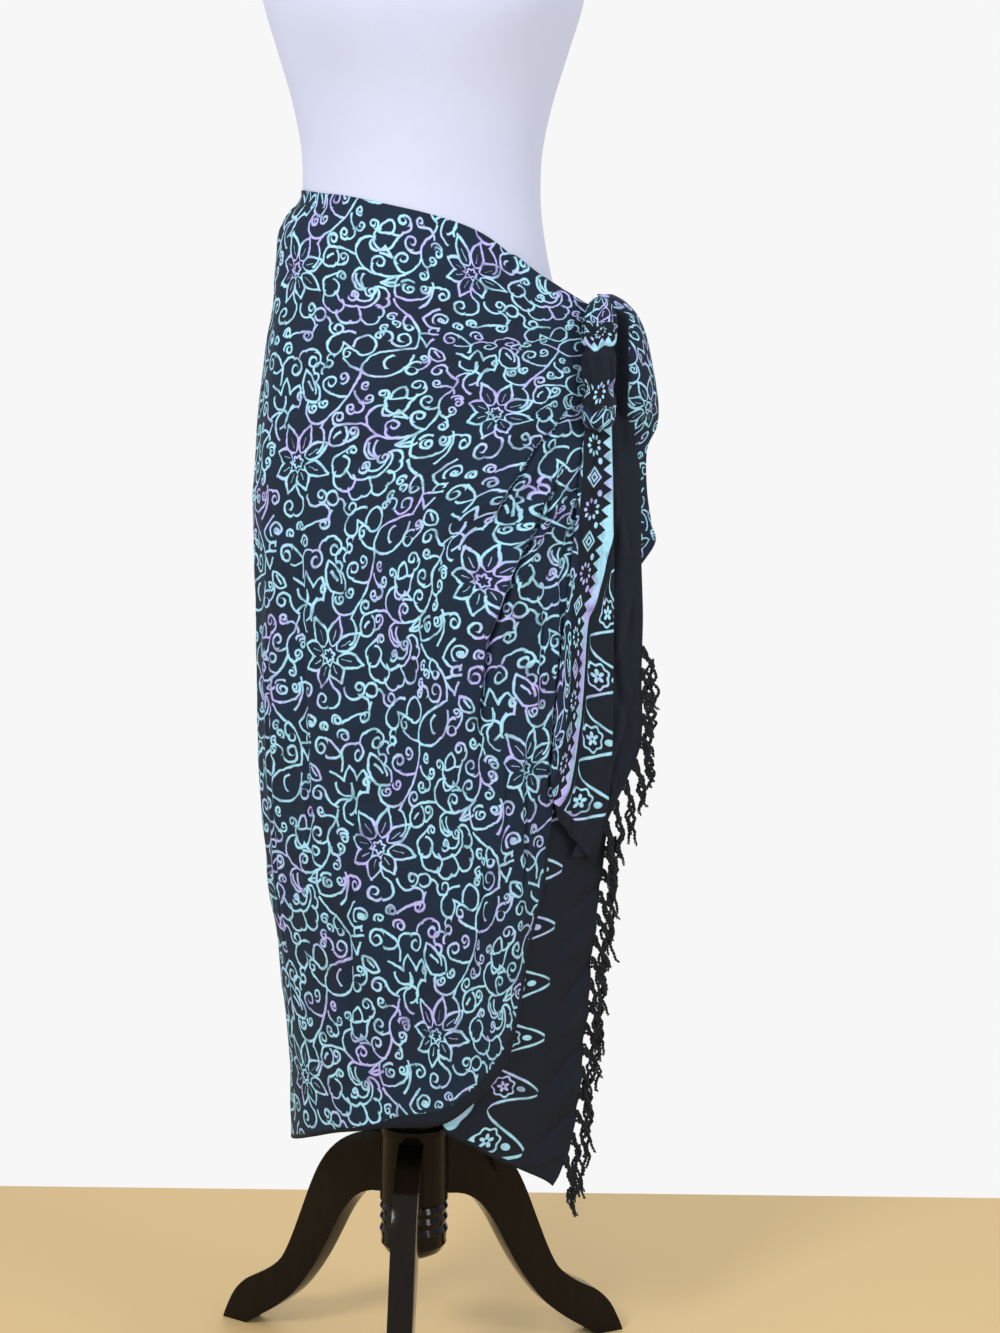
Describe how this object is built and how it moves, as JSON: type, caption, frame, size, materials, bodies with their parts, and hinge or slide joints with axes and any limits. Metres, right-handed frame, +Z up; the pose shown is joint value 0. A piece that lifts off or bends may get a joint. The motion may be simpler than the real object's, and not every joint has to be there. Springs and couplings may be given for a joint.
{
  "type": "batik sarong on a dress form",
  "caption": "Wrapped batik sarong with a patterned border, side knot and knotted fringe, on a limbless dress form that stands on a turned tripod stand.",
  "frame": {"origin": "centre of the whole object's bounding box, on the floor", "axes": "+Z up, the front of the sarong towards -Y, the knot at the form's left hip towards +X"},
  "size_m": [0.4986, 0.4158, 1.8433],
  "materials": {
    "printed_cloth": "matte, wax-resist print in pale aqua and lavender lines on a blue-black ground",
    "plain_cloth": "matte, dyed blue-black",
    "jersey": "matte white cotton jersey",
    "black_lacquer": "glossy black lacquer",
    "steel_tube": "satin"
  },
  "bodies": {
    "root": {"form_base_board": "black_lacquer", "form_neck_cap": "black_lacquer", "form_torso": "jersey", "fringe_inner_end": "plain_cloth", "fringe_outer_end": "plain_cloth", "sarong_inner_end": "plain_cloth", "sarong_knot": "printed_cloth", "sarong_knot_loop": "printed_cloth", "sarong_outer_end": "printed_cloth", "sarong_wrap": "printed_cloth", "stand_column": "black_lacquer", "stand_leg_front": "black_lacquer", "stand_leg_left": "black_lacquer", "stand_leg_right": "black_lacquer", "stand_pole": "steel_tube"}
  },
  "joints": []
}
